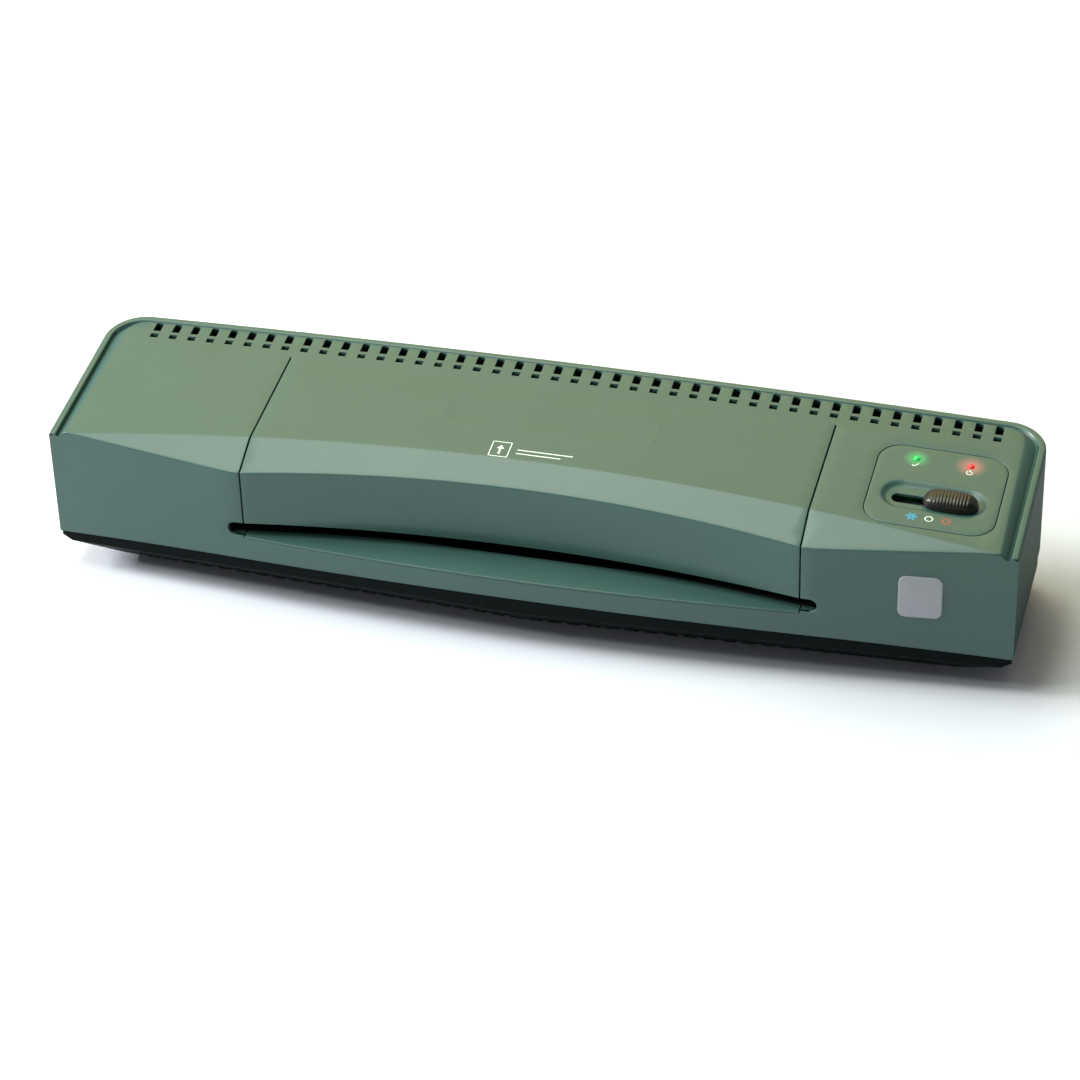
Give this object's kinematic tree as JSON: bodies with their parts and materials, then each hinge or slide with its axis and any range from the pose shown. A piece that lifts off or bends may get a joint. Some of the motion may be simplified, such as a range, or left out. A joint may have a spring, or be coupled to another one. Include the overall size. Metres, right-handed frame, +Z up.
{
  "type": "pouch laminator",
  "caption": "Desktop hot and cold pouch laminator with a wide feeding slot, driven rollers, a row of top vents and a sliding mode switch.",
  "frame": {"origin": "centre of the rectangle that the machine covers, on the surface that its feet stand on", "axes": "+X along the length, to the right of a user at the front; -Y is the front with the feeding slot; +Z up"},
  "size_m": [0.52, 0.1252, 0.1016],
  "materials": {
    "shell": "satin moulded plastic, olive grey-green",
    "skirt": "satin moulded plastic, grey-green",
    "base": "black moulded plastic",
    "badge": "satin light grey plate",
    "knob": "satin black plastic",
    "green_lens": "clear green plastic",
    "red_lens": "clear red plastic",
    "foot_rubber": "black rubber",
    "steel": "zinc plated steel",
    "roller_rubber": "red-brown silicone rubber",
    "bronze": "sintered bronze",
    "nylon": "natural nylon",
    "aluminium": "extruded aluminium",
    "heater": "polyimide and mica",
    "board": "green solder mask",
    "electrical": "black and blue moulded plastic",
    "motor_case": "plated motor can"
  },
  "bodies": {
    "casing": {"main_housing": "shell", "centre_cover": "shell", "feed_shelf": "skirt", "base_tray": "base", "control_panel": "shell", "ready_lens": "green_lens", "power_lens": "red_lens", "badge": "badge", "rubber_feet": "foot_rubber", "housing_screws": "steel", "cord_gland": "base", "left_frame": "steel", "right_frame": "steel", "tie_rods": "steel", "motor_plate": "steel", "frame_screws": "steel", "lower_bearings": "bronze", "upper_bearing_blocks": "nylon", "pressure_springs": "steel", "lower_heater_plate": "aluminium", "upper_heater_plate": "aluminium", "lower_heating_element": "heater", "upper_heating_element": "heater", "thermostat": "electrical", "thermal_fuse": "steel", "lower_infeed_guide": "base", "upper_infeed_guide": "base", "lower_exit_guide": "base", "upper_exit_guide": "base", "circuit_board": "board", "board_posts": "base", "slide_switch": "electrical", "relay": "electrical", "terminal_block": "nylon", "gear_motor": "motor_case", "idler_pin": "steel"},
    "lower_heat_roller": {"lower_heat_core": "steel", "lower_heat_sleeve": "roller_rubber", "lower_heat_gear": "nylon"},
    "upper_heat_roller": {"upper_heat_core": "steel", "upper_heat_sleeve": "roller_rubber", "upper_heat_gear": "nylon"},
    "lower_pull_roller": {"lower_pull_core": "steel", "lower_pull_sleeve": "roller_rubber", "lower_pull_gear": "nylon"},
    "upper_pull_roller": {"upper_pull_core": "steel", "upper_pull_sleeve": "roller_rubber", "upper_pull_gear": "nylon"},
    "idler": {"idler_gear": "nylon"},
    "pinion": {"motor_shaft": "steel", "motor_pinion": "bronze"},
    "mode_slider": {"slider_knob": "knob", "switch_lever": "nylon"}
  },
  "joints": [
    {"name": "lower_heat_spin", "type": "hinge", "parent": "casing", "child": "lower_heat_roller", "pos_m": [0, -0.01341, 0.0385], "axis": [1, 0, 0], "continuous": true},
    {"name": "upper_heat_spin", "type": "hinge", "parent": "casing", "child": "upper_heat_roller", "pos_m": [0, -0.01341, 0.0565], "axis": [1, 0, 0], "continuous": true},
    {"name": "lower_pull_spin", "type": "hinge", "parent": "casing", "child": "lower_pull_roller", "pos_m": [0, 0.02859, 0.0385], "axis": [1, 0, 0], "continuous": true},
    {"name": "upper_pull_spin", "type": "hinge", "parent": "casing", "child": "upper_pull_roller", "pos_m": [0, 0.02859, 0.0565], "axis": [1, 0, 0], "continuous": true},
    {"name": "idler_spin", "type": "hinge", "parent": "casing", "child": "idler", "pos_m": [0, 0.00759, 0.0385], "axis": [1, 0, 0], "continuous": true},
    {"name": "pinion_spin", "type": "hinge", "parent": "casing", "child": "pinion", "pos_m": [0, 0.00759, 0.0205], "axis": [1, 0, 0], "continuous": true},
    {"name": "mode_slide", "type": "slide", "parent": "casing", "child": "mode_slider", "axis": [0.9995, 0, -0.0308], "range_m": [-0.0178, 0]}
  ],
  "couplings": [
    {"joint": "upper_heat_spin", "follows": "lower_heat_spin", "ratio": -1},
    {"joint": "lower_pull_spin", "follows": "lower_heat_spin", "ratio": 1},
    {"joint": "upper_pull_spin", "follows": "lower_heat_spin", "ratio": -1},
    {"joint": "idler_spin", "follows": "lower_heat_spin", "ratio": -0.75},
    {"joint": "pinion_spin", "follows": "lower_heat_spin", "ratio": 1.5}
  ]
}
